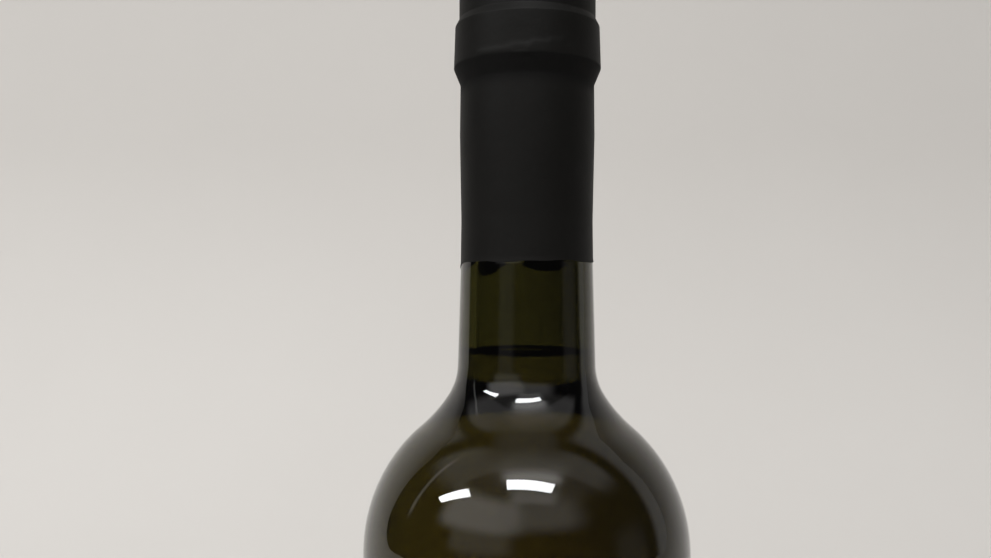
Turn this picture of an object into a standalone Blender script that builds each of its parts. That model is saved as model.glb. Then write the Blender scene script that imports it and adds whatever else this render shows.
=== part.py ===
"""A full, unopened bottle of white wine, standing upright.

Three turned pieces share the Z axis, and the origin is the middle of the base, where it stands:
the dark green glass, the wine up to its level in the neck, and the shrink capsule over the mouth.
"""
import math

import bpy

# The glass, outside
BODY_RADIUS = 0.0360
BODY_TOP = 0.2035  # height at which the straight side turns into the shoulder
SHOULDER_RADIUS = 0.0352  # round of the shoulder, nearly as wide as the body
FLARE_RADIUS = 0.0234  # hollow curve between neck and shoulder
FLARE_EASE_RADIUS = 0.0104  # tighter start of that curve
FLARE_EASE_TURN = math.radians(25)
NECK_FOOT_RADIUS = 0.0151
NECK_RADIUS = 0.0146  # just under the capsule
HEEL_ROUND = 0.0065
STANDING_RING_RADIUS = 0.0275  # inner edge of the flat ring that the bottle stands on
STANDING_RING_ROUND = 0.0025
PUNT_HEIGHT = 0.0030

# The glass, inside
BODY_WALL = 0.0028
BORE_RADIUS = 0.00925  # at the mouth, from where the bore widens evenly downwards
NECK_BORE_RADIUS = 0.0117  # where the bore turns into the shoulder
BORE_FLARE_RADIUS = 0.0200
MOUTH_ROUND = 0.0006
BASE_THICKNESS = 0.0060
VALLEY_HEIGHT = 0.0075  # lowest point inside, all round the punt
VALLEY_ROUND = 0.0050

# The wine
WINE_LEVEL = 0.2464
CLEARANCE = 0.0003  # between neighbouring pieces

# The capsule, outside; depths are measured down from its top
CAPSULE_TOP = 0.3281
CAPSULE_LENGTH = 0.0611
CAPSULE_WALL = 0.0003
LIP_RADIUS = 0.01533
LIP_ROUND = 0.0012
LIP_DEPTH = 0.0062
RING_TOP_RADIUS = 0.01623
RING_TOP_DEPTH = 0.0078
RING_RADIUS = 0.01650
RING_DEPTH = 0.0173
RING_EDGE_ROUND = 0.0008
THROAT_RADIUS = 0.0150  # neck of the capsule, close under the ring
THROAT_DEPTH = 0.0209
THROAT_ROUND = 0.0020
SWELL_RADIUS = 0.0151
SWELL_DEPTH = 0.0325
WAIST_RADIUS = 0.0147
WAIST_DEPTH = 0.0515
CAPSULE_EDGE_RADIUS = 0.0148

# Fineness of the turned surfaces
SIDES = 40
EASE_STEPS = 3
FLARE_STEPS = 4
SHOULDER_STEPS = 9
ROUND_STEPS = 3
DOME_STEPS = 5
MERGE_DISTANCE = 0.00005
SHARP_ANGLE = math.radians(35)


def arc(centre, radius, start, end, steps):
    """Points of an arc in the (radius, height) plane, from one angle to another."""
    turns = [start + (end - start) * step / steps for step in range(steps + 1)]
    return [(centre[0] + radius * math.cos(t), centre[1] + radius * math.sin(t)) for t in turns]


def shoulder(neck_radius, ease_radius, ease_turn, flare_radius, body_radius, round_radius):
    """From the neck down: a short tight curve, the long hollow flare and the full round.

    Each curve starts on the tangent of the one before, and the round ends upright on the body.
    """
    round_centre = (body_radius - round_radius, BODY_TOP)
    ease_width = ease_radius * (1 - math.cos(ease_turn))
    reach = neck_radius + ease_width + flare_radius * math.cos(ease_turn) - round_centre[0]
    rise = math.sqrt((flare_radius + round_radius) ** 2 - reach ** 2)
    meet = math.atan2(rise, reach)
    flare_centre = (round_centre[0] + reach, round_centre[1] + rise)
    ease_centre = (
        neck_radius + ease_radius,
        flare_centre[1] - (flare_radius - ease_radius) * math.sin(ease_turn),
    )
    ease = arc(ease_centre, ease_radius, math.pi, math.pi + ease_turn, EASE_STEPS)
    flare = arc(flare_centre, flare_radius, math.pi + ease_turn, math.pi + meet, FLARE_STEPS)
    full = arc(round_centre, round_radius, meet, 0.0, SHOULDER_STEPS)
    return ease + flare[1:] + full[1:]


def domed_floor(rim_radius, rim_height, rim_round, dome_top):
    """A dome from the axis out to the rounded rim around it, which ends at its lowest point."""
    centre_height = rim_height + rim_round
    drop = dome_top - centre_height
    sphere = (rim_radius ** 2 + drop ** 2 - rim_round ** 2) / (2 * (rim_round + drop))
    sphere_centre = (0.0, dome_top - sphere)
    meet = math.atan2(centre_height - sphere_centre[1], rim_radius)
    dome = arc(sphere_centre, sphere, math.pi / 2, meet, DOME_STEPS)
    rim = arc((rim_radius, centre_height), rim_round, math.pi + meet, 1.5 * math.pi, ROUND_STEPS)
    return dome + rim[1:]


def rounded(corners):
    """The outline through these (radius, height, round) corners, each with its own round."""
    outline = [corners[0][:2]]
    for before, corner, after in zip(corners, corners[1:], corners[2:]):
        into = math.atan2(corner[1] - before[1], corner[0] - before[0])
        out = math.atan2(after[1] - corner[1], after[0] - corner[0])
        turn = out - into
        side = math.copysign(math.pi / 2, turn)
        back = corner[2] * math.tan(abs(turn) / 2)
        start = (corner[0] - back * math.cos(into), corner[1] - back * math.sin(into))
        centre = (
            start[0] + corner[2] * math.cos(into + side),
            start[1] + corner[2] * math.sin(into + side),
        )
        steps = ROUND_STEPS if corner[2] else 1
        outline += arc(centre, corner[2], into - side, out - side, steps)
    return outline + [corners[-1][:2]]


def finish(inset):
    """The mouth of the bottle, from the axis over lip and ring down to the capsule's waist."""
    corners = [
        (0.0, CAPSULE_TOP - inset, 0.0),
        (LIP_RADIUS - inset, CAPSULE_TOP - inset, LIP_ROUND),
        (LIP_RADIUS - inset, CAPSULE_TOP - LIP_DEPTH, RING_EDGE_ROUND),
        (RING_TOP_RADIUS - inset, CAPSULE_TOP - RING_TOP_DEPTH, RING_EDGE_ROUND),
        (RING_RADIUS - inset, CAPSULE_TOP - RING_DEPTH, RING_EDGE_ROUND),
        (THROAT_RADIUS - inset, CAPSULE_TOP - THROAT_DEPTH, THROAT_ROUND),
        (SWELL_RADIUS - inset, CAPSULE_TOP - SWELL_DEPTH, 0.0),
        (WAIST_RADIUS - inset, CAPSULE_TOP - WAIST_DEPTH, 0.0),
        (CAPSULE_EDGE_RADIUS - inset, CAPSULE_TOP - CAPSULE_LENGTH, 0.0),
    ]
    return rounded(corners)


def cavity(inset):
    """The inside of the glass from its floor up to the foot of the bore."""
    wall = BODY_WALL + inset
    floor = domed_floor(
        BODY_RADIUS - BODY_WALL - VALLEY_ROUND,
        VALLEY_HEIGHT + inset,
        VALLEY_ROUND - inset,
        PUNT_HEIGHT + BASE_THICKNESS + inset,
    )
    valley_centre = (BODY_RADIUS - BODY_WALL - VALLEY_ROUND, VALLEY_HEIGHT + VALLEY_ROUND)
    corner = arc(valley_centre, VALLEY_ROUND - inset, -math.pi / 2, 0.0, ROUND_STEPS)
    upper = shoulder(
        NECK_BORE_RADIUS - inset,
        BORE_FLARE_RADIUS + inset,
        FLARE_EASE_TURN,
        BORE_FLARE_RADIUS + inset,
        BODY_RADIUS - wall,
        SHOULDER_RADIUS - wall,
    )
    return floor + corner[1:] + upper[::-1]


def turned(name, outline, material, collection):
    """Turns an outline round the Z axis. The outline runs down the outer side."""
    mesh = bpy.data.meshes.new(name)
    joins = [(point, point + 1) for point in range(len(outline) - 1)]
    mesh.from_pydata([(radius, 0.0, height) for radius, height in outline], joins, [])
    piece = bpy.data.objects.new(name, mesh)
    collection.objects.link(piece)
    screw = piece.modifiers.new("Turn", "SCREW")
    screw.angle = 2 * math.pi
    screw.steps = SIDES
    screw.render_steps = SIDES
    screw.use_merge_vertices = True
    screw.merge_threshold = MERGE_DISTANCE
    bpy.context.view_layer.objects.active = piece
    bpy.ops.object.modifier_apply(modifier=screw.name)
    mesh.shade_smooth()
    mesh.set_sharp_from_angle(angle=SHARP_ANGLE)
    mesh.materials.append(material)
    return piece


def finish_material(name, colour, roughness, transmission=0.0, ior=1.5):
    material = bpy.data.materials.new(name)
    material.use_nodes = True
    shader = material.node_tree.nodes["Principled BSDF"]
    shader.inputs["Base Color"].default_value = (*colour, 1.0)
    shader.inputs["Roughness"].default_value = roughness
    shader.inputs["Metallic"].default_value = 0.0
    shader.inputs["Transmission Weight"].default_value = transmission
    shader.inputs["IOR"].default_value = ior
    return material


def glass_bottle(collection):
    """Blown glass: thick in the neck and base, thinner in the body, open at the mouth."""
    under_capsule = CAPSULE_WALL + CLEARANCE
    capsule_edge = CAPSULE_TOP - CAPSULE_LENGTH
    lip_top = CAPSULE_TOP - under_capsule
    mouth_centre = (BORE_RADIUS + MOUTH_ROUND, lip_top - MOUTH_ROUND)
    mouth = arc(mouth_centre, MOUTH_ROUND, math.pi, math.pi / 2, ROUND_STEPS)
    covered = finish(under_capsule)[1:]
    neck = [(NECK_RADIUS, capsule_edge - CLEARANCE)]
    upper = shoulder(
        NECK_FOOT_RADIUS,
        FLARE_EASE_RADIUS,
        FLARE_EASE_TURN,
        FLARE_RADIUS,
        BODY_RADIUS,
        SHOULDER_RADIUS,
    )
    heel_centre = (BODY_RADIUS - HEEL_ROUND, HEEL_ROUND)
    heel = arc(heel_centre, HEEL_ROUND, 0.0, -math.pi / 2, 2 * ROUND_STEPS)
    punt = domed_floor(STANDING_RING_RADIUS, 0.0, STANDING_RING_ROUND, PUNT_HEIGHT)
    outline = cavity(0.0) + mouth + covered + neck + upper + heel + punt[::-1]
    colour = (0.020, 0.022, 0.004)
    material = finish_material("green_glass", colour, 0.03, transmission=1.0, ior=1.52)
    return turned("glass_bottle", outline, material, collection)


def wine(collection):
    """The wine fills the bottle up to its level, just above the foot of the neck."""
    inside = cavity(CLEARANCE)
    neck_foot = inside[-1]
    narrowing = (NECK_BORE_RADIUS - BORE_RADIUS) / (CAPSULE_TOP - neck_foot[1])
    surface_radius = neck_foot[0] - narrowing * (WINE_LEVEL - neck_foot[1])
    surface = [(0.0, WINE_LEVEL), (surface_radius, WINE_LEVEL)]
    colour = (0.62, 0.52, 0.16)
    material = finish_material("white_wine", colour, 0.0, transmission=1.0, ior=1.34)
    return turned("wine", surface + inside[::-1], material, collection)


def capsule(collection):
    """A thin shrunk sleeve with a closed top, tight over lip, ring and neck."""
    outside = finish(0.0)
    inside = finish(CAPSULE_WALL)
    material = finish_material("black_capsule", (0.012, 0.012, 0.012), 0.55)
    return turned("capsule", outside + inside[::-1], material, collection)


def main():
    for obj in list(bpy.data.objects):
        bpy.data.objects.remove(obj, do_unlink=True)
    collection = bpy.data.collections.new("white_wine_bottle")
    bpy.context.scene.collection.children.link(collection)
    glass_bottle(collection)
    wine(collection)
    capsule(collection)


main()
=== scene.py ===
"""A full, unopened bottle of white wine in dark green glass, on a pale studio floor.

The sections follow the making of the bottle: the glass, the wine in it, the capsule over its
mouth. The floor, the lights and the camera come after it. All sizes are in metres.
"""

import math

import bpy
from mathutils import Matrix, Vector


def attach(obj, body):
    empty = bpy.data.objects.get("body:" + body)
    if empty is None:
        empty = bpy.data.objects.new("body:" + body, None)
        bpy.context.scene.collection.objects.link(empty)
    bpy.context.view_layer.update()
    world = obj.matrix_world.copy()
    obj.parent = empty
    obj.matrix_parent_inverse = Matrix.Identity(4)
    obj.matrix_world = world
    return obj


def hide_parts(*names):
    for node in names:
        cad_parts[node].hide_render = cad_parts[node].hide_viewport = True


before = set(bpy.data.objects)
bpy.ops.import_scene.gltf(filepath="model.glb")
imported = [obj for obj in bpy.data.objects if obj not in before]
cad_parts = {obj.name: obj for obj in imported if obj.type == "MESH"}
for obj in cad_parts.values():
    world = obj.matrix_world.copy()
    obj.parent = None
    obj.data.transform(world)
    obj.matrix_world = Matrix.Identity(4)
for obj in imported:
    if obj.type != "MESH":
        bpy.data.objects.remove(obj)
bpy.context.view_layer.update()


# The bottle is dark green glass, blown in a mould of two halves: thin in the body, thick in the
# neck and the base. It stands on a narrow ring round a slightly hollow middle.

BODY_RADIUS = 0.0360
BODY_TOP = 0.2038
SHOULDER_RADIUS = 0.0352
FLARE_RADIUS = 0.0318
FLARE_EASE_RADIUS = 0.0130
FLARE_EASE_TURN = math.radians(33)
NECK_FOOT_RADIUS = 0.01535
NECK_RADIUS = 0.0147
HEEL_ROUND = 0.0065
STANDING_RING_RADIUS = 0.0275
STANDING_RING_ROUND = 0.0025
PUNT_HEIGHT = 0.0030
BODY_WALL = 0.0028
BORE_RADIUS = 0.00925
NECK_BORE_RADIUS = 0.0117
BORE_FLARE_RADIUS = 0.0200
BORE_EASE_TURN = math.radians(25)
MOUTH_ROUND = 0.0006
BASE_THICKNESS = 0.0060
VALLEY_HEIGHT = 0.0075
VALLEY_ROUND = 0.0050
VALLEY_RADIUS = BODY_RADIUS - BODY_WALL - VALLEY_ROUND

# The neck steps in under the capsule and then follows it, to leave room for the film. These are
# the capsule's own corners from the neck up to the lip, as radius, height and round.
STEP_RADIUS = 0.0142
STEP_HEIGHT = 0.2690
STEP_RISE = 0.0005
UNDER_CAPSULE = 0.0006
CAPSULE_TOP = 0.3281
LIP_ROUND = 0.0012
LIP_RADIUS = 0.01533
CAPSULE_CORNERS = (
    (0.0147, 0.2766, 0.0),
    (0.0151, 0.2956, 0.0),
    (0.0150, 0.3069, 0.0020),
    (0.01650, 0.3105, 0.0008),
    (0.01623, 0.3198, 0.0008),
    (LIP_RADIUS, 0.3215, 0.0008),
)

TURNED_SIDES = 192
LONGEST_CHORD = 0.0012
LONGEST_LINE = 0.0030
WIDEST_TURN = math.radians(4)
WELD = 0.000001


class Outline:
    """Half the section of a turned piece, drawn from its first point on with edit-mode tools."""

    def __init__(self, name, radius, height):
        bpy.ops.object.select_all(action="DESELECT")
        bpy.ops.mesh.primitive_circle_add(vertices=3, radius=LONGEST_CHORD)
        self.piece = bpy.context.object
        self.piece.name = name
        self.piece.data.name = name
        bpy.ops.object.mode_set(mode="EDIT")
        bpy.ops.mesh.select_all(action="SELECT")
        bpy.ops.mesh.merge(type="CENTER")
        bpy.ops.transform.translate(value=(radius, 0.0, height))
        self.radius = radius
        self.height = height
        self.longest = LONGEST_LINE

    def line(self, radius, height):
        length = math.hypot(radius - self.radius, height - self.height)
        steps = max(1, math.ceil(length / self.longest))
        step = ((radius - self.radius) / steps, 0.0, (height - self.height) / steps)
        for _ in range(steps):
            bpy.ops.mesh.extrude_vertices_move(TRANSFORM_OT_translate={"value": step})
        self.radius = radius
        self.height = height

    def arc(self, centre, turn):
        """Swings the last point round a centre. A positive turn goes from outwards to upwards."""
        across = self.radius - centre[0]
        along = self.height - centre[1]
        chords = abs(turn) * math.hypot(across, along) / LONGEST_CHORD
        steps = max(1, math.ceil(max(chords, abs(turn) / WIDEST_TURN)))
        bpy.ops.mesh.spin(
            steps=steps, angle=turn, center=(centre[0], 0.0, centre[1]), axis=(0.0, 1.0, 0.0)
        )
        self.radius = centre[0] + across * math.cos(turn) - along * math.sin(turn)
        self.height = centre[1] + across * math.sin(turn) + along * math.cos(turn)

    def through(self, corners):
        """Straight lines by way of (radius, height, round) corners, all rounded but the last."""
        for corner, after in zip(corners, corners[1:]):
            into = math.atan2(corner[1] - self.height, corner[0] - self.radius)
            out = math.atan2(after[1] - corner[1], after[0] - corner[0])
            turn = math.remainder(out - into, 2 * math.pi)
            back = corner[2] * math.tan(abs(turn) / 2)
            self.line(corner[0] - back * math.cos(into), corner[1] - back * math.sin(into))
            if corner[2]:
                side = into + math.copysign(math.pi / 2, turn)
                centre = (
                    self.radius + corner[2] * math.cos(side),
                    self.height + corner[2] * math.sin(side),
                )
                self.arc(centre, turn)
        self.line(*corners[-1][:2])

    def turned(self):
        """Spins the outline into the whole piece, welds seam and poles, and smooths it."""
        bpy.ops.mesh.select_all(action="SELECT")
        bpy.ops.mesh.spin(
            steps=TURNED_SIDES, angle=2 * math.pi, center=(0.0, 0.0, 0.0), axis=(0.0, 0.0, 1.0)
        )
        bpy.ops.mesh.select_all(action="SELECT")
        bpy.ops.mesh.remove_doubles(threshold=WELD)
        bpy.ops.mesh.normals_make_consistent(inside=False)
        bpy.ops.object.mode_set(mode="OBJECT")
        bpy.ops.object.shade_smooth()
        return self.piece


def choose(piece, wanted):
    """Opens edit mode with just the points selected whose place and normal are wanted."""
    bpy.ops.object.select_all(action="DESELECT")
    piece.select_set(True)
    bpy.context.view_layer.objects.active = piece
    bpy.ops.object.mode_set(mode="EDIT")
    bpy.ops.mesh.select_mode(type="VERT")
    bpy.ops.mesh.select_all(action="DESELECT")
    bpy.ops.object.mode_set(mode="OBJECT")
    for point in piece.data.vertices:
        point.select = wanted(point.co, point.normal)
    bpy.ops.object.mode_set(mode="EDIT")


class Signal:
    """A shader socket that can be added, multiplied and so on. Each operator adds a Math node."""

    def __init__(self, finish, socket):
        self.finish = finish
        self.socket = socket

    def reckon(self, operation, first, second):
        return self.finish.node("ShaderNodeMath", {"operation": operation}, {0: first, 1: second})

    def __add__(self, other):
        return self.reckon("ADD", self, other)

    def __radd__(self, other):
        return self.reckon("ADD", other, self)

    def __sub__(self, other):
        return self.reckon("SUBTRACT", self, other)

    def __rsub__(self, other):
        return self.reckon("SUBTRACT", other, self)

    def __mul__(self, other):
        return self.reckon("MULTIPLY", self, other)

    def __rmul__(self, other):
        return self.reckon("MULTIPLY", other, self)

    def __pow__(self, other):
        return self.reckon("POWER", self, other)


class Finish:
    """The shader of a material or of the room, built up node by node."""

    def __init__(self, owner):
        self.owner = owner
        owner.use_nodes = True
        owner.node_tree.nodes.clear()

    def node(self, kind, settings=None, sockets=None, output=0):
        """Adds a node with these settings and socket values or links, and gives one output."""
        tree = self.owner.node_tree
        node = tree.nodes.new(kind)
        for name, value in (settings or {}).items():
            setattr(node, name, value)
        for name, value in (sockets or {}).items():
            if isinstance(value, Signal):
                tree.links.new(value.socket, node.inputs[name])
            else:
                node.inputs[name].default_value = value
        return Signal(self, node.outputs[output]) if node.outputs else None

    def noise(self, place, size, detail=2.0, stretch=(1.0, 1.0, 1.0)):
        """Noise from 0 to 1 whose patches are about this size, wider where stretch is under 1."""
        scaled = self.node("ShaderNodeMapping", {}, {"Vector": place, "Scale": stretch})
        sockets = {"Vector": scaled, "Scale": 1 / size, "Detail": detail}
        return self.node("ShaderNodeTexNoise", {}, sockets)

    def between(self, signal, low, high):
        """0 below low, 1 above high, and a smooth rise from one to the other."""
        sockets = {"Value": signal, "From Min": low, "From Max": high}
        return self.node("ShaderNodeMapRange", {"interpolation_type": "SMOOTHSTEP"}, sockets)

    def blend(self, share, first, second):
        """The first colour where share is 0, the second where it is 1, and mixes of them."""
        sockets = {0: share, 6: first, 7: second}
        return self.node("ShaderNodeMix", {"data_type": "RGBA"}, sockets, output=2)

    def bump(self, height, strength, distance):
        """The normal of a surface with this height of relief."""
        sockets = {"Height": height, "Strength": strength, "Distance": distance}
        return self.node("ShaderNodeBump", {}, sockets)


def shoulder_arcs(neck_radius, ease_radius, ease_turn, flare_radius, body_radius, round_radius):
    """Centres of the round, of the flare and of its tight start under the neck.

    The last value is the angle at which the round and the flare meet.
    """
    ease_width = ease_radius * (1 - math.cos(ease_turn))
    reach = neck_radius + ease_width + flare_radius * math.cos(ease_turn)
    reach -= body_radius - round_radius
    rise = math.sqrt((flare_radius + round_radius) ** 2 - reach ** 2)
    flare_centre = (body_radius - round_radius + reach, BODY_TOP + rise)
    drop = (flare_radius - ease_radius) * math.sin(ease_turn)
    ease_centre = (neck_radius + ease_radius, flare_centre[1] - drop)
    round_centre = (body_radius - round_radius, BODY_TOP)
    return round_centre, flare_centre, ease_centre, math.atan2(rise, reach)


def dome_under(rim_radius, rim_height, rim_round, dome_top):
    """Height of the centre of the dome's sphere, and the angle where the dome meets its rim."""
    drop = dome_top - rim_height - rim_round
    sphere = (rim_radius ** 2 + drop ** 2 - rim_round ** 2) / (2 * (rim_round + drop))
    centre = dome_top - sphere
    return centre, math.atan2(rim_height + rim_round - centre, rim_radius)


glass_outline = Outline("bottle_glass", 0.0, PUNT_HEIGHT)
punt_centre, punt_meet = dome_under(STANDING_RING_RADIUS, 0.0, STANDING_RING_ROUND, PUNT_HEIGHT)
glass_outline.arc((0.0, punt_centre), punt_meet - math.pi / 2)
glass_outline.arc((STANDING_RING_RADIUS, STANDING_RING_ROUND), math.pi / 2 - punt_meet)
glass_outline.line(BODY_RADIUS - HEEL_ROUND, 0.0)
glass_outline.arc((BODY_RADIUS - HEEL_ROUND, HEEL_ROUND), math.pi / 2)
glass_outline.line(BODY_RADIUS, BODY_TOP)
round_centre, flare_centre, ease_centre, meet = shoulder_arcs(
    NECK_FOOT_RADIUS,
    FLARE_EASE_RADIUS,
    FLARE_EASE_TURN,
    FLARE_RADIUS,
    BODY_RADIUS,
    SHOULDER_RADIUS,
)
glass_outline.arc(round_centre, meet)
glass_outline.arc(flare_centre, FLARE_EASE_TURN - meet)
glass_outline.arc(ease_centre, -FLARE_EASE_TURN)
glass_outline.line(NECK_RADIUS, STEP_HEIGHT)
bore_round, bore_flare, bore_ease, bore_meet = shoulder_arcs(
    NECK_BORE_RADIUS,
    BORE_FLARE_RADIUS,
    BORE_EASE_TURN,
    BORE_FLARE_RADIUS,
    BODY_RADIUS - BODY_WALL,
    SHOULDER_RADIUS - BODY_WALL,
)
glass_outline.through(
    [
        (STEP_RADIUS, STEP_HEIGHT + STEP_RISE, 0.0),
        *((radius - UNDER_CAPSULE, height, bend) for radius, height, bend in CAPSULE_CORNERS),
        (LIP_RADIUS - UNDER_CAPSULE, CAPSULE_TOP - UNDER_CAPSULE, LIP_ROUND),
        (BORE_RADIUS, CAPSULE_TOP - UNDER_CAPSULE, MOUTH_ROUND),
        (NECK_BORE_RADIUS, bore_ease[1]),
    ]
)
glass_outline.arc(bore_ease, BORE_EASE_TURN)
glass_outline.arc(bore_flare, bore_meet - BORE_EASE_TURN)
glass_outline.arc(bore_round, -bore_meet)
glass_outline.line(BODY_RADIUS - BODY_WALL, VALLEY_HEIGHT + VALLEY_ROUND)
glass_outline.arc((VALLEY_RADIUS, VALLEY_HEIGHT + VALLEY_ROUND), -math.pi / 2)
floor_top = PUNT_HEIGHT + BASE_THICKNESS
floor_centre, floor_meet = dome_under(VALLEY_RADIUS, VALLEY_HEIGHT, VALLEY_ROUND, floor_top)
glass_outline.arc((VALLEY_RADIUS, VALLEY_HEIGHT + VALLEY_ROUND), floor_meet - math.pi / 2)
glass_outline.arc((0.0, floor_centre), math.pi / 2 - floor_meet)
bottle_glass = glass_outline.turned()

# The inner wall is left a little wavy by the blowing, less so in the neck, and the wine wets it
# up to its level.
WINE_LEVEL = 0.2464
MENISCUS = 0.0018
FLOOR_EDGE_HEIGHT = 0.02
NECK_FOOT_HEIGHT = 0.238
WAVES_TOP = 0.26
WAVE_SIZE = 0.016
WAVE_HEIGHT = 0.0003
WAVES_IN_NECK = 0.25


def is_inner_wall(place, normal):
    inwards = normal.x * place.x + normal.y * place.y < -0.1 * place.xy.length
    return inwards and PUNT_HEIGHT < place.z < WAVES_TOP


def is_wetted(place, normal):
    on_floor = PUNT_HEIGHT < place.z < FLOOR_EDGE_HEIGHT and normal.z > 0.3
    return place.z < WINE_LEVEL + MENISCUS / 2 and (on_floor or is_inner_wall(place, normal))


glass_points = bottle_glass.data.vertices
wetness = [float(is_wetted(point.co, point.normal)) for point in glass_points]
wall_points = [point.index for point in glass_points if is_inner_wall(point.co, point.normal)]
wetted = bottle_glass.data.attributes.new("wetted", "FLOAT", "POINT")
wetted.data.foreach_set("value", wetness)
inner_wall = bottle_glass.vertex_groups.new(name="inner_wall")
inner_wall.add(wall_points, 1.0, "REPLACE")
neck_points = [index for index in wall_points if glass_points[index].co.z > NECK_FOOT_HEIGHT]
inner_wall.add(neck_points, WAVES_IN_NECK, "REPLACE")
blown_waves = bpy.data.textures.new("blown_waves", "CLOUDS")
blown_waves.noise_scale = WAVE_SIZE
blown_waves.noise_depth = 1
waves = bottle_glass.modifiers.new("waves", "DISPLACE")
waves.texture = blown_waves
waves.texture_coords = "LOCAL"
waves.vertex_group = "inner_wall"
waves.strength = WAVE_HEIGHT
waves.mid_level = 0.5
bpy.context.view_layer.objects.active = bottle_glass
bpy.ops.object.modifier_apply(modifier="waves")

# The tint and its density are what the glass's depth lets through. The glass's colour is painted
# darker to the right as painted shade, and is lighter in a band round the flare under the neck.
GLASS_TINT = (0.310, 0.300, 0.0, 1.0)
GLASS_DENSITY = 420.0
GLASS_LEFT_LIT = (0.540, 0.530, 0.320, 1.0)
GLASS_RIGHT_SHADED = (0.290, 0.280, 0.205, 1.0)
FLARED_GLASS = (0.74, 0.71, 0.50, 1.0)
SIDE_SHADE_SPREAD = 0.030
FLARED_BAND_FOOT = (0.2300, 0.2325)
FLARED_BAND_TOP = (0.2350, 0.2362)
GLASS_IOR = 1.52

green_glass = Finish(bpy.data.materials.new("green_glass_finish"))
place = green_glass.node("ShaderNodeTexCoord", output=3)
side = green_glass.node("ShaderNodeSeparateXYZ", {}, {0: place})
drift = green_glass.noise(place, 0.030, 1.0)
# Painted shade: the glass's colour goes from lighter on the left to darker on the right.
painted_side_shade = green_glass.between(side + 0.016 * (drift - 0.5), -SIDE_SHADE_SPREAD, SIDE_SHADE_SPREAD)
tint_with_painted_shade = green_glass.blend(painted_side_shade, GLASS_LEFT_LIT, GLASS_RIGHT_SHADED)
height = green_glass.node("ShaderNodeSeparateXYZ", {}, {0: place}, output=2)
flared = green_glass.between(height, *FLARED_BAND_FOOT)
flared = flared * (1.0 - green_glass.between(height, *FLARED_BAND_TOP))
tint_with_painted_shade = green_glass.blend(flared, tint_with_painted_shade, FLARED_GLASS)
smears = green_glass.between(green_glass.noise(place, 0.009, 4.0), 0.52, 0.75)
specks = green_glass.between(green_glass.noise(place, 0.0009, 2.0), 0.70, 0.80)
ripples = green_glass.bump(green_glass.noise(place, 0.022, 1.0), 0.35, 0.0004)
open_wall = green_glass.node(
    "ShaderNodeBsdfPrincipled",
    {},
    {
        "Base Color": tint_with_painted_shade,
        "Roughness": 0.008 + 0.04 * smears + 0.15 * specks,
        "IOR": GLASS_IOR,
        "Transmission Weight": 1.0,
        "Normal": ripples,
    },
)
wet_wall = green_glass.node(
    "ShaderNodeBsdfPrincipled",
    {},
    {
        "Base Color": tint_with_painted_shade,
        "Roughness": 0.002 + 0.01 * smears,
        "IOR": GLASS_IOR,
        "Transmission Weight": 1.0,
        "Specular Tint": (0.0, 0.0, 0.0, 1.0),
    },
)
wetness = green_glass.node("ShaderNodeAttribute", {"attribute_name": "wetted"}, output=2)
glass_wall = green_glass.node("ShaderNodeMixShader", {}, {0: wetness, 1: open_wall, 2: wet_wall})
glass_depth = green_glass.node(
    "ShaderNodeVolumeAbsorption", {}, {"Color": GLASS_TINT, "Density": GLASS_DENSITY}
)
green_glass.node("ShaderNodeOutputMaterial", {}, {"Surface": glass_wall, "Volume": glass_depth})
bottle_glass.data.materials.append(green_glass.owner)
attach(bottle_glass, "root")
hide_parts("glass_bottle")


# The wine is pale straw yellow and clear. It is filled to just above the foot of the neck and
# climbs the glass a little all round. Its mesh reaches just into the wall, so that no air shows
# between the two.

INTO_WALL = 0.0003
MENISCUS_TURN = math.radians(75)

round_in, flare_in, ease_in, meet_in = shoulder_arcs(
    NECK_BORE_RADIUS + INTO_WALL,
    BORE_FLARE_RADIUS - INTO_WALL,
    BORE_EASE_TURN,
    BORE_FLARE_RADIUS - INTO_WALL,
    BODY_RADIUS - BODY_WALL + INTO_WALL,
    SHOULDER_RADIUS - BODY_WALL + INTO_WALL,
)
wine_outline = Outline("white_wine", 0.0, WINE_LEVEL)
wine_outline.line(NECK_BORE_RADIUS - MENISCUS, WINE_LEVEL)
wine_outline.arc((NECK_BORE_RADIUS - MENISCUS, WINE_LEVEL + MENISCUS), MENISCUS_TURN)
wine_outline.line(NECK_BORE_RADIUS + INTO_WALL, WINE_LEVEL + MENISCUS)
wine_outline.line(NECK_BORE_RADIUS + INTO_WALL, ease_in[1])
wine_outline.arc(ease_in, BORE_EASE_TURN)
wine_outline.arc(flare_in, meet_in - BORE_EASE_TURN)
wine_outline.arc(round_in, -meet_in)
wine_outline.line(BODY_RADIUS - BODY_WALL + INTO_WALL, VALLEY_HEIGHT + VALLEY_ROUND)
wine_outline.arc((VALLEY_RADIUS, VALLEY_HEIGHT + VALLEY_ROUND), -math.pi / 2)
wine_floor, wine_meet = dome_under(
    VALLEY_RADIUS, VALLEY_HEIGHT - INTO_WALL, VALLEY_ROUND + INTO_WALL, floor_top - INTO_WALL
)
wine_outline.arc((VALLEY_RADIUS, VALLEY_HEIGHT + VALLEY_ROUND), wine_meet - math.pi / 2)
wine_outline.arc((0.0, wine_floor), math.pi / 2 - wine_meet)
white_wine = wine_outline.turned()

WINE_TINT = (0.75, 0.50, 0.13, 1.0)
WINE_DENSITY = 16.0
WINE_IOR = 1.34

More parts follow.
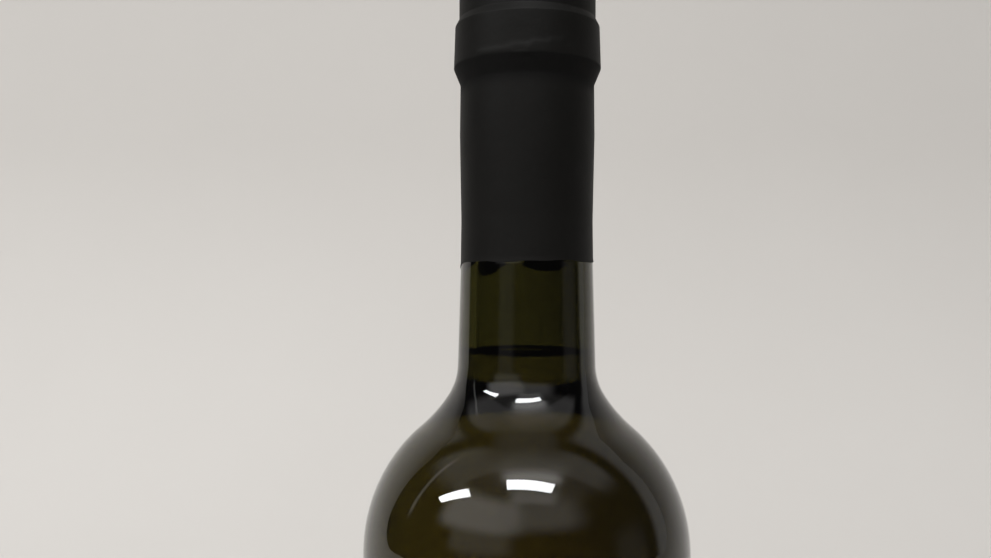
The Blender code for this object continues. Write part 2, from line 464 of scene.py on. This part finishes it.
wine_finish = Finish(bpy.data.materials.new("white_wine_finish"))
place = wine_finish.node("ShaderNodeTexCoord", output=3)
height = wine_finish.node("ShaderNodeSeparateXYZ", {}, {0: place}, output=2)
wine_roughness = 0.002 + 0.004 * wine_finish.noise(place, 0.01)
ripples = wine_finish.bump(wine_finish.noise(place, 0.006, 1.0), 0.1, 0.0001)
open_surface = wine_finish.node(
    "ShaderNodeBsdfPrincipled",
    {},
    {
        "Base Color": (1.0, 1.0, 1.0, 1.0),
        "Roughness": wine_roughness,
        "IOR": WINE_IOR,
        "Transmission Weight": 1.0,
        "Normal": ripples,
    },
)
against_glass = wine_finish.node(
    "ShaderNodeBsdfPrincipled",
    {},
    {
        "Base Color": (1.0, 1.0, 1.0, 1.0),
        "Roughness": wine_roughness,
        "IOR": WINE_IOR,
        "Transmission Weight": 1.0,
        "Specular Tint": (0.0, 0.0, 0.0, 1.0),
    },
)
at_level = wine_finish.between(height, WINE_LEVEL - 0.0003, WINE_LEVEL - 0.0001)
wine_body = wine_finish.node(
    "ShaderNodeMixShader", {}, {0: at_level, 1: against_glass, 2: open_surface}
)
wine_depth = wine_finish.node(
    "ShaderNodeVolumeAbsorption", {}, {"Color": WINE_TINT, "Density": WINE_DENSITY}
)
wine_finish.node("ShaderNodeOutputMaterial", {}, {"Surface": wine_body, "Volume": wine_depth})
white_wine.data.materials.append(wine_finish.owner)
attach(white_wine, "root")
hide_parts("wine")


# The capsule is a sleeve of matte black film, shrunk by heat over the mouth, the ring and the
# neck. Its lower edge is a little uneven, and it stands out from the glass by its own thickness.

FILM = 0.00018
EDGE_HEIGHT = 0.2670
EDGE_RADIUS = 0.0148
EDGE_LIP_RADIUS = 0.01492
EDGE_LIP_HEIGHT = 0.0008
RIM_RADIUS = 0.0112
RIM_STEP = 0.0001
INNER_LIP_ROUND = 0.0010
INNER_TOP_RADIUS = 0.0138

# It is drawn from the middle of the top outwards and down to the edge, then back up inside. The
# sleeve's upper rim, folded in over the mouth, is a small step on the top.
film_outline = Outline("capsule_film", 0.0, CAPSULE_TOP - RIM_STEP)
film_outline.longest = 0.0006
film_outline.through(
    [
        (RIM_RADIUS - RIM_STEP, CAPSULE_TOP - RIM_STEP, RIM_STEP / 3),
        (RIM_RADIUS, CAPSULE_TOP, RIM_STEP / 3),
        (LIP_RADIUS, CAPSULE_TOP, LIP_ROUND),
        *reversed(CAPSULE_CORNERS),
        (EDGE_RADIUS, EDGE_HEIGHT + EDGE_LIP_HEIGHT, 0.0),
        (EDGE_LIP_RADIUS, EDGE_HEIGHT, FILM / 2),
        (EDGE_RADIUS - FILM, EDGE_HEIGHT, FILM / 2),
        *((radius - FILM, height, bend) for radius, height, bend in CAPSULE_CORNERS),
        (LIP_RADIUS - FILM, CAPSULE_TOP - FILM, INNER_LIP_ROUND),
        (INNER_TOP_RADIUS, CAPSULE_TOP - FILM, 0.0),
    ]
)
film_outline.line(0.0, CAPSULE_TOP - FILM)
capsule_film = film_outline.turned()


def on_film(turn, radius, height):
    """The place on the film at this angle round the bottle, counted from the front."""
    return Vector((radius * math.sin(turn), -radius * math.cos(turn), height))


# The edge hangs lower or higher in places. Each has its angle in degrees, its drop and its width.
EDGE_GRIP = 0.0005
EDGE_DROPS = (
    (-132.0, 0.0022, 0.0060),
    (-108.0, 0.0025, 0.0070),
    (-166.0, -0.0009, 0.0035),
    (-84.0, 0.0006, 0.0040),
    (166.0, 0.0012, 0.0050),
    (146.0, 0.0013, 0.0055),
    (-20.0, 0.0003, 0.0040),
    (35.0, -0.0003, 0.0050),
    (95.0, -0.0004, 0.0060),
)
for turn, drop, width in EDGE_DROPS:
    low_point = on_film(math.radians(turn), EDGE_RADIUS, EDGE_HEIGHT)
    choose(capsule_film, lambda place, normal: (place - low_point).length < EDGE_GRIP)
    bpy.ops.transform.translate(
        value=(0.0, 0.0, -drop),
        use_proportional_edit=True,
        proportional_edit_falloff="SMOOTH",
        proportional_size=width,
    )
    bpy.ops.object.mode_set(mode="OBJECT")

# Two folds in the film run up across the lower part of the ring. Each has its start and its end,
# as angle in degrees and height, and how far it stands out.
FOLD_STEPS = 60
FOLD_CURVE = 1.6
FOLD_CREST_RADIUS = 0.0165
FOLD_LEAST_RADIUS = 0.0164
FOLD_MARGIN = 0.0003
FOLD_GRIP = 0.00035
FOLD_SLOPE = 0.0009
FOLDS = (
    ((-40.0, 0.3110), (28.0, 0.3134), 0.00018),
    ((-12.0, 0.3108), (34.0, 0.3122), 0.00014),
)
for start, end, rise in FOLDS:
    fold = []
    for step in range(FOLD_STEPS + 1):
        share = step / FOLD_STEPS
        turn = math.radians(start[0] + (end[0] - start[0]) * share)
        crest_height = start[1] + (end[1] - start[1]) * share ** FOLD_CURVE
        fold.append(on_film(turn, FOLD_CREST_RADIUS, crest_height))
    lowest = min(crest.z for crest in fold) - FOLD_MARGIN
    highest = max(crest.z for crest in fold) + FOLD_MARGIN

    def on_fold(place, normal):
        if not lowest < place.z < highest or place.y > 0.0:
            return False
        if place.xy.length < FOLD_LEAST_RADIUS:
            return False
        return any((place - crest).length < FOLD_GRIP for crest in fold)

    choose(capsule_film, on_fold)
    bpy.ops.transform.shrink_fatten(
        value=rise,
        use_proportional_edit=True,
        proportional_edit_falloff="SMOOTH",
        proportional_size=FOLD_SLOPE,
    )
    bpy.ops.object.mode_set(mode="OBJECT")

# The sleeve's two edges overlap in a narrow strip at the back.
SEAM_HALF_WIDTH = 0.0014
SEAM_RISE = 0.00007
SEAM_TOP = CAPSULE_TOP - 0.0010
BACK_OF_NECK = 0.012


def on_seam(place, normal):
    at_back = place.y > BACK_OF_NECK and normal.y > 0.3
    return at_back and abs(place.x) < SEAM_HALF_WIDTH and place.z < SEAM_TOP


choose(capsule_film, on_seam)
bpy.ops.transform.shrink_fatten(value=SEAM_RISE)
bpy.ops.object.mode_set(mode="OBJECT")

# The film's colour is painted blacker in the hollow under the ring, as painted shade where little
# light reaches.
FILM_DARK = (0.0031, 0.0029, 0.0025, 1.0)
FILM_PALE = (0.0048, 0.0046, 0.0041, 1.0)
FILM_IN_PAINTED_SHADE = (0.0016, 0.0016, 0.0015, 1.0)
HOLLOW_FOOT = (0.3035, 0.3070)
HOLLOW_TOP = (0.3103, 0.3111)
FILM_IOR = 1.23

capsule_finish = Finish(bpy.data.materials.new("black_capsule_finish"))
place = capsule_finish.node("ShaderNodeTexCoord", output=3)
mottle = capsule_finish.noise(place, 0.012, 3.0)
grain = capsule_finish.noise(place, 0.0007, 3.0)
sag = capsule_finish.noise(place, 0.007, 1.0, (1.0, 1.0, 1.6))
film_surface = capsule_finish.bump(0.25 * grain + sag, 0.5, 0.0002)
film_height = capsule_finish.node("ShaderNodeSeparateXYZ", {}, {0: place}, output=2)
# Painted shade: this mask darkens the film's colour in the hollow under the ring, and also makes
# the film rougher there.
shade_under_ring = capsule_finish.between(film_height, *HOLLOW_FOOT)
shade_under_ring = shade_under_ring * (1.0 - capsule_finish.between(film_height, *HOLLOW_TOP))
film_colour = capsule_finish.blend(mottle, FILM_DARK, FILM_PALE)
film_colour = capsule_finish.blend(shade_under_ring, film_colour, FILM_IN_PAINTED_SHADE)
film_body = capsule_finish.node(
    "ShaderNodeBsdfPrincipled",
    {},
    {
        "Base Color": film_colour,
        "Roughness": 0.48 + 0.12 * mottle + 0.05 * grain + 0.2 * shade_under_ring,
        "IOR": FILM_IOR,
        "Normal": film_surface,
    },
)
capsule_finish.node("ShaderNodeOutputMaterial", {}, {"Surface": film_body})
capsule_film.data.materials.append(capsule_finish.owner)
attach(capsule_film, "root")
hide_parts("capsule")


# The bottle stands on a wide sheet of matt, pale studio paper. It lies flat on the floor, curves
# up behind the bottle and hangs straight from there.

SWEEP_WIDTH = 4.4
SWEEP_FRONT = -2.0
SWEEP_BACK = 0.95
SWEEP_TOP = 2.0
SWEEP_BEND = 0.45
SWEEP_BEND_FACES = 24

bpy.ops.object.select_all(action="DESELECT")
bpy.ops.mesh.primitive_plane_add(size=1.0)
paper_sweep = bpy.context.object
paper_sweep.name = "paper_sweep"
paper_sweep.data.name = "paper_sweep"
bpy.ops.object.mode_set(mode="EDIT")
bpy.ops.mesh.select_all(action="SELECT")
bpy.ops.transform.resize(value=(SWEEP_WIDTH, SWEEP_BACK - SWEEP_FRONT, 1.0))
bpy.ops.transform.translate(value=(0.0, (SWEEP_BACK + SWEEP_FRONT) / 2, 0.0))
bpy.ops.mesh.select_mode(type="EDGE")


def choose_back_edge():
    """Selects just the sheet's back edge on the floor."""
    bpy.ops.mesh.select_all(action="DESELECT")
    bpy.ops.object.mode_set(mode="OBJECT")
    for edge in paper_sweep.data.edges:
        ends = [paper_sweep.data.vertices[v].co for v in edge.vertices]
        edge.select = all(abs(end.y - SWEEP_BACK) < WELD and abs(end.z) < WELD for end in ends)
    bpy.ops.object.mode_set(mode="EDIT")


choose_back_edge()
bpy.ops.mesh.extrude_region_move(TRANSFORM_OT_translate={"value": (0.0, 0.0, SWEEP_TOP)})
choose_back_edge()
bpy.ops.mesh.bevel(
    offset=SWEEP_BEND, offset_type="OFFSET", segments=SWEEP_BEND_FACES, profile=0.5
)
bpy.ops.mesh.select_all(action="SELECT")
bpy.ops.mesh.normals_make_consistent(inside=False)
bpy.ops.object.mode_set(mode="OBJECT")
bpy.ops.object.shade_smooth()

PAPER_DARK = (0.632, 0.613, 0.589, 1.0)
PAPER_PALE = (0.670, 0.651, 0.627, 1.0)

paper = Finish(bpy.data.materials.new("pale_paper"))
place = paper.node("ShaderNodeTexCoord", output=3)
paper_colour = paper.blend(paper.noise(place, 0.35, 3.0), PAPER_DARK, PAPER_PALE)
paper_body = paper.node(
    "ShaderNodeBsdfPrincipled", {}, {"Base Color": paper_colour, "Roughness": 0.9}
)
paper.node("ShaderNodeOutputMaterial", {}, {"Surface": paper_body})
paper_sweep.data.materials.append(paper.owner)


# Two long soft lamps hang in front of the bottle, high over the camera, and two washes that the
# glass doesn't mirror light the paper. The rest is a plain room with a pale ceiling and a few
# pale cards, which the glass mirrors softly.

def facing(place, aim):
    """The turns of a lamp at place that faces aim."""
    across = [end - start for start, end in zip(place, aim)]
    tip = math.pi / 2 + math.atan2(across[2], math.hypot(across[0], across[1]))
    return tip, 0.0, math.atan2(-across[0], across[1])


def lamp(name, place, turns, width, depth, brightness, gloss=True):
    """A flat soft lamp at place, as bright all over as brightness says."""
    light = bpy.data.lights.new(name, "AREA")
    light.shape = "RECTANGLE"
    light.size = width
    light.size_y = depth
    light.energy = brightness * math.pi * width * depth
    stand = bpy.data.objects.new(name, light)
    bpy.context.scene.collection.objects.link(stand)
    stand.location = place
    stand.rotation_euler = turns
    stand.visible_glossy = gloss


RIGHT_PLACE = (0.08, -0.91, 1.52)
RIGHT_TURNS = (0.0, 0.0, math.radians(-5))
LEFT_PLACE = (-1.62, -0.74, 1.52)
LEFT_TURNS = (0.0, 0.0, math.radians(-15))
WASH_PLACE = (-0.6, 0.1, 1.7)
WASH_TURNS = facing(WASH_PLACE, (-0.15, 0.95, 0.45))
SIDE_PLACE = (0.75, -0.35, 0.8)
SIDE_TURNS = facing(SIDE_PLACE, (0.5, 0.95, 0.85))

lamp("lamp_right", RIGHT_PLACE, RIGHT_TURNS, width=0.82, depth=0.24, brightness=24.0)
lamp("lamp_left", LEFT_PLACE, LEFT_TURNS, width=1.0, depth=0.25, brightness=28.0)
lamp("wash", WASH_PLACE, WASH_TURNS, width=1.6, depth=0.8, brightness=1.2, gloss=False)
lamp("side_wash", SIDE_PLACE, SIDE_TURNS, width=0.6, depth=0.5, brightness=1.6, gloss=False)

# Brightness of the room where nothing else is, behind the bottle, and as the camera sees it.
DIM_ROOM = 0.035
PALE_BEHIND = 0.44
SEEN_BEHIND = 0.58
ROOM_TINT = (1.0, 0.985, 0.965, 1.0)

room = Finish(bpy.data.worlds.new("room"))
toward = room.node("ShaderNodeTexCoord")
x, y, z = (room.node("ShaderNodeSeparateXYZ", {}, {0: toward}, output=axis) for axis in range(3))
round_about = room.node("ShaderNodeMath", {"operation": "ARCTAN2"}, {0: x, 1: 0.0 - y})


def rising(signal, level, soft):
    """0 below the level and 1 above it, with a soft step this wide to either side."""
    return room.between(signal, level - soft, level + soft)


def window(azimuths, heights, soft_side, soft_end):
    """1 between these angles round the bottle and above the level, with soft edges."""
    low, high, side = (math.radians(angle) for angle in (*azimuths, soft_side))
    bottom, top, end = (math.sin(math.radians(angle)) for angle in (*heights, soft_end))
    across = rising(round_about, low, side / 2) * (1.0 - rising(round_about, high, side))
    return across * rising(z, bottom, end) * (1.0 - rising(z, top, end))


def overhead(sideways, forwards, soft):
    """1 over this patch of the ceiling, measured in its heights above the bottle."""
    across = rising(ceiling_x, sideways[0], soft) * (1.0 - rising(ceiling_x, sideways[1], soft))
    along = rising(ceiling_y, forwards[0], soft) * (1.0 - rising(ceiling_y, forwards[1], soft))
    return across * along * rising(z, 0.2, 0.1)


# The two edges are nearly upright planes through the bottle, between the bright back of the
# room and its dark sides. The names below say what the glass mirrors there: each starts with its
# brightness, then its angles in degrees or its place on the ceiling.
lifted = room.node("ShaderNodeMath", {"operation": "MAXIMUM"}, {0: z, 1: 0.05})
ceiling_x = x * lifted ** -1.0
ceiling_y = y * lifted ** -1.0
left_edge = 0.474 * x + 0.880 * y + 0.047 * z
right_edge = 0.993 * y - 0.112 * x - 0.041 * z
edge = room.node("ShaderNodeMath", {"operation": "MINIMUM"}, {0: left_edge, 1: right_edge})
behind = room.between(edge, 0.0, 0.13)
dark_gap = 1.0 - room.between(edge, -0.16, -0.06)
ceiling = 0.27 * rising(z, 0.62, 0.10) * rising(ceiling_y, -0.41, 0.03)
above = 0.26 * rising(z, 0.955, 0.03)
glow = 0.45 * overhead((-0.32, 0.46), (-0.66, -0.22), 0.16)
halo = 2.2 * overhead((-0.26, 0.42), (-0.62, -0.44), 0.10)
lower_halo = 1.0 * overhead((-0.22, 0.46), (-1.06, -0.72), 0.12)
fill = 0.19 * rising(z, 0.66, 0.08) * (1.0 - rising(z, 0.92, 0.04))
card = 1.35 * window((-66.0, -10.0), (21.0, 43.0), 14.0, 4.0)
card_end = 0.62 * window((-14.0, 42.0), (25.0, 43.0), 14.0, 5.0)
card_foot = 0.42 * window((-54.0, -12.0), (8.0, 20.0), 8.0, 4.0)
bright_strip = 0.8 * window((-96.0, -93.5), (15.0, 50.0), 1.5, 4.0)
faint_strip = 0.13 * window((-47.0, -22.0), (-9.0, 9.0), 5.0, 3.0)
side_strip = 0.12 * window((64.0, 88.0), (-14.0, 14.0), 10.0, 6.0)
overhead_light = ceiling + glow + halo + lower_halo + fill
cards = card + card_end + card_foot
strips = bright_strip + faint_strip + side_strip
strength = DIM_ROOM + PALE_BEHIND * behind + dark_gap * (overhead_light + cards + strips)
strength = room.node("ShaderNodeMath", {"operation": "MAXIMUM"}, {0: strength, 1: above})
looked_at = room.node("ShaderNodeLightPath")
strength = strength * (1.0 - looked_at) + SEEN_BEHIND * looked_at
room_light = room.node("ShaderNodeBackground", {}, {"Color": ROOM_TINT, "Strength": strength})
room.node("ShaderNodeOutputWorld", {}, {"Surface": room_light})
bpy.context.scene.world = room.owner


# The camera is close in front of the neck, a little above the wine's level. It is tipped up by
# about a degree and turned a little to the left.

PHOTO_WIDTH = 991
FOCAL_PIXELS = 981.0
SENSOR_WIDTH = 36.0
EYE_DISTANCE = 0.2200
EYE_HEIGHT = 0.2586
CAMERA_TURNS = (math.radians(91.27), math.radians(-0.18), math.radians(1.82))

camera_data = bpy.data.cameras.new("camera")
camera_data.sensor_width = SENSOR_WIDTH
camera_data.lens = SENSOR_WIDTH * FOCAL_PIXELS / PHOTO_WIDTH
camera_data.clip_start = 0.01
camera = bpy.data.objects.new("camera", camera_data)
bpy.context.scene.collection.objects.link(camera)
camera.location = (0.0, -EYE_DISTANCE, EYE_HEIGHT)
camera.rotation_euler = CAMERA_TURNS
bpy.context.scene.camera = camera
bpy.context.scene.view_settings.view_transform = "Standard"
